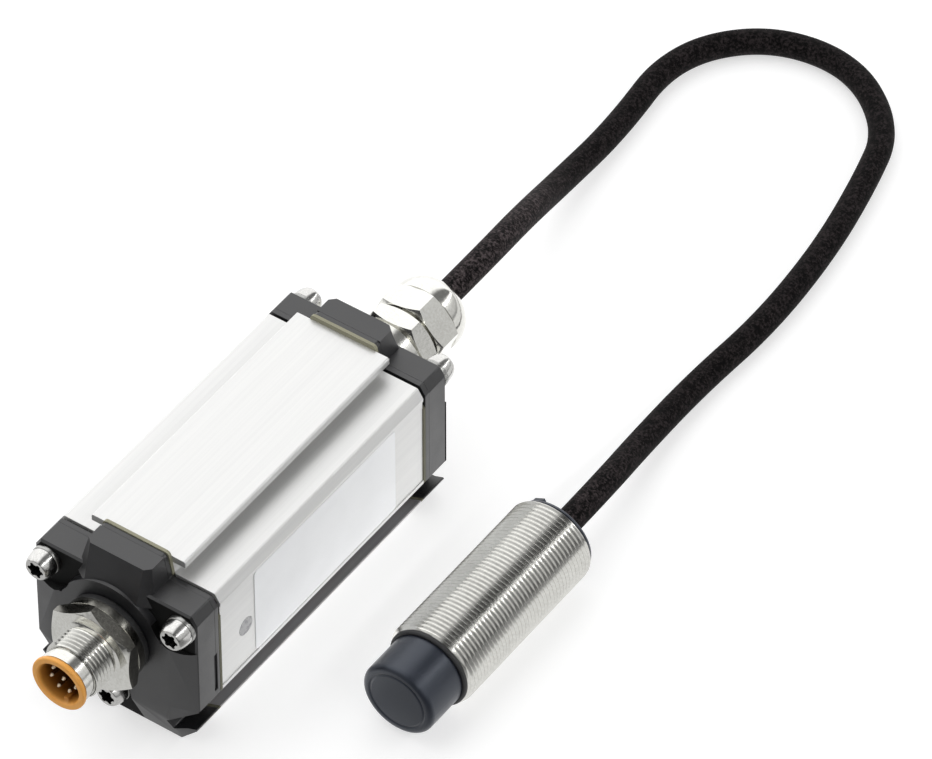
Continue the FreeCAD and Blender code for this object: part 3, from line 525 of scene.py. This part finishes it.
# The pins are gilded brass, moulded into the disc at the cup's floor. Their tips catch the light, and
# deeper in the cup they are painted dark brown, as painted shade and a painted reflection of its wall.
pin_skin = Look(bpy.data.materials.new("gilded_pin"))
wear = pin_skin.noise(3.0)
deep_shade_and_reflection = pin_skin.along("Y").spread(-54.2, -53.7)
# Painted shade and reflection: deeper in the cup the pins go from gold to dark brown.
pin_skin.shade({
    "Base Color": (deep_shade_and_reflection + wear * 0.15).colours((0.95, 0.85, 0.66), (0.12, 0.045, 0.008)),
    "Roughness": wear.spread(0.3, 0.7, 0.25, 0.4),
    "Metallic": 0.6,
})
pin_skin.relief(wear, 0.004)
dress(nodes["connector_pins"], pin_skin)


# The gland's body and its domed clamping nut are turned from nickel-plated brass. A locknut in the cap
# holds the body, as one holds the plug's shell.
softened("gland_body", "gland_fitting", 0.12, "nickel", nickel_skin)
softened("gland_nut", "gland_cap_nut", 0.2, "nickel", nickel_skin, segments=3)
for node in ("connector_locknut", "gland_locknut"):
    dress(nodes[node], nickel_skin)


# The seals of plug, gland and head are black rubber rings, squeezed where two pieces meet. The bushes
# round the cable are of the same rubber.
rubber_skin = plastic("seal_rubber", (0.012, 0.012, 0.013), (0.022, 0.022, 0.023), 0.5, 0.66, 3.0, 0.01)
softened("connector_seal", "plug_seal", 0.08, "seal_rubber", rubber_skin)
softened("gland_gasket", "gland_seal", 0.08, "seal_rubber", rubber_skin)
softened("head_seal_ring", "head_ring", 0.06, "seal_rubber", rubber_skin)
for node in ("gland_bush", "cable_bush"):
    dress(nodes[node], rubber_skin)


# The sensing cap and the barrel's end plug are moulded from dark bluish plastic with a soft sheen, and
# both are pressed into the barrel.
head_skin = plastic("head_moulding", (0.003, 0.0045, 0.010), (0.005, 0.007, 0.016), 0.32, 0.42, 4.0,
                    bump=0.006, gloss=0.8)
head_skin.shade({"Specular Tint": (0.82, 0.89, 1.0, 1.0)})
softened("barrel_plug", "barrel_end_plug", 0.08, "head_plastic", head_skin)
dress(nodes["sensing_cap"], head_skin)
for face in nodes["sensing_cap"].data.polygons:
    face.use_smooth = True


# Boards, headers, leads and electrodes lie inside the housing and the head, where cast resin holds the
# head's own. They are seen only when it is opened, so they stay plain.
board_skin = plastic("board_laminate", (0.02, 0.13, 0.06), (0.035, 0.19, 0.09), 0.25, 0.4, 3.0, 0.006)
header_skin = plastic("header_moulding", (0.50, 0.48, 0.42), (0.62, 0.60, 0.54), 0.45, 0.6)
component_skin = plastic("component_moulding", (0.02, 0.02, 0.022), (0.05, 0.05, 0.055), 0.35, 0.5)
lead_skin = plastic("lead_insulation_white", (0.62, 0.62, 0.59), (0.74, 0.74, 0.71), 0.45, 0.6)
lens_skin = plastic("lamp_lens_clear", (0.50, 0.54, 0.42), (0.60, 0.64, 0.50), 0.15, 0.25, 2.0, 0.004)
copper_skin = metal("copper_sheet", (0.70, 0.40, 0.26), (0.82, 0.52, 0.36), 0.25, 0.4)
resin_skin = plastic("cast_resin", (0.03, 0.03, 0.025), (0.06, 0.06, 0.05), 0.15, 0.3, 1.0)
inner_looks = {
    "circuit_board": board_skin, "head_board": board_skin, "plug_header": header_skin,
    "cable_header": header_skin, "electrode_spacer": header_skin, "board_components": component_skin,
    "connector_leads": lead_skin, "status_led": lens_skin, "sensing_electrode": copper_skin,
    "guard_ring": copper_skin, "head_potting": resin_skin,
}
for node, skin in inner_looks.items():
    dress(nodes[node], skin)


# A pale floor runs far past the view, just under the object. The camera sees it nearly white, and metal
# mirrors it with dark and pale zones, as from boards laid round the object.
WHITE = (1.0, 1.0, 1.0)
bm = bmesh.new()
bmesh.ops.create_grid(bm, x_segments=1, y_segments=1, size=6.0)
floor_mesh = bpy.data.meshes.new("floor")
bm.to_mesh(floor_mesh)
bm.free()
floor = bpy.data.objects.new("floor", floor_mesh)
floor.location.z = -0.02 * MM
bpy.context.scene.collection.objects.link(floor)
floor_skin = Look(bpy.data.materials.new("floor_pale"))
floor_skin.shade({
    "Base Color": (0.55, 0.55, 0.55, 1.0), "Roughness": 0.9,
    "Emission Color": (*WHITE, 1.0), "Emission Strength": 0.56,
})
far = floor_skin.along("Y")
aside = floor_skin.along("X")
zones = far.spread(-150.0, -100.0, 0.0, 0.55) + far.spread(-45.0, -15.0, 0.0, 0.45)
beyond_head = aside.spread(38.0, 60.0, 1.0, 0.72)
under_head = far.spread(-22.0, -12.0, 0.55, 0.0) * aside.spread(30.0, 38.0)
mirrored = floor_skin.node("BsdfPrincipled", {}, {
    "Base Color": (0.0, 0.0, 0.0, 1.0), "Roughness": 0.9, "Emission Strength": 1.25,
    "Emission Color": (zones * beyond_head * (1.0 - under_head)).colours((0.02, 0.02, 0.02), WHITE),
}, "BSDF")
seen = Socket(floor_skin, floor_skin.shader.outputs["BSDF"])
to_camera = floor_skin.node("LightPath", {}, {}, "Is Camera Ray")
either = floor_skin.node("MixShader", {}, {"Fac": to_camera, 1: mirrored, 2: seen}, "Shader")
floor_skin.fill(floor_skin.tree.nodes["Material Output"], {"Surface": either})
dress(floor, floor_skin)


# The light is a soft studio: a pale room whose long panels run beside the object, with darker gaps
# between them that metal shows as stripes. Angles go round the object's length, from straight up.
studio = Look(bpy.data.worlds.new("studio"), "Background")
bpy.context.scene.world = studio.owner
direction = studio.node("TexCoord", {}, {}, "Generated")
side, length, up = (studio.node("SeparateXYZ", {}, {"Vector": direction}, axis) for axis in "XYZ")
angle = side.math("ARCTAN2", up) * (180.0 / math.pi)
overhead = angle.spread(-9.0, 9.0, 1.6, 0.21)
panel = angle.spread(29.0, 44.0, 0.0, 0.85)
gaps = angle.spread(52.0, 64.0, 0.0, -0.32) + angle.spread(77.0, 84.0, 0.0, -0.35)
strip = (angle - 43.5).math("ABSOLUTE").spread(1.2, 2.6, 1.0, 0.0) * 6.0
studio.shade({
    "Color": (overhead + panel + gaps + strip) * length.spread(-0.95, -0.25, 0.3, 1.0),
    "Strength": 1.0,
})
bpy.context.scene.view_settings.view_transform = "Standard"

bpy.context.view_layer.update()
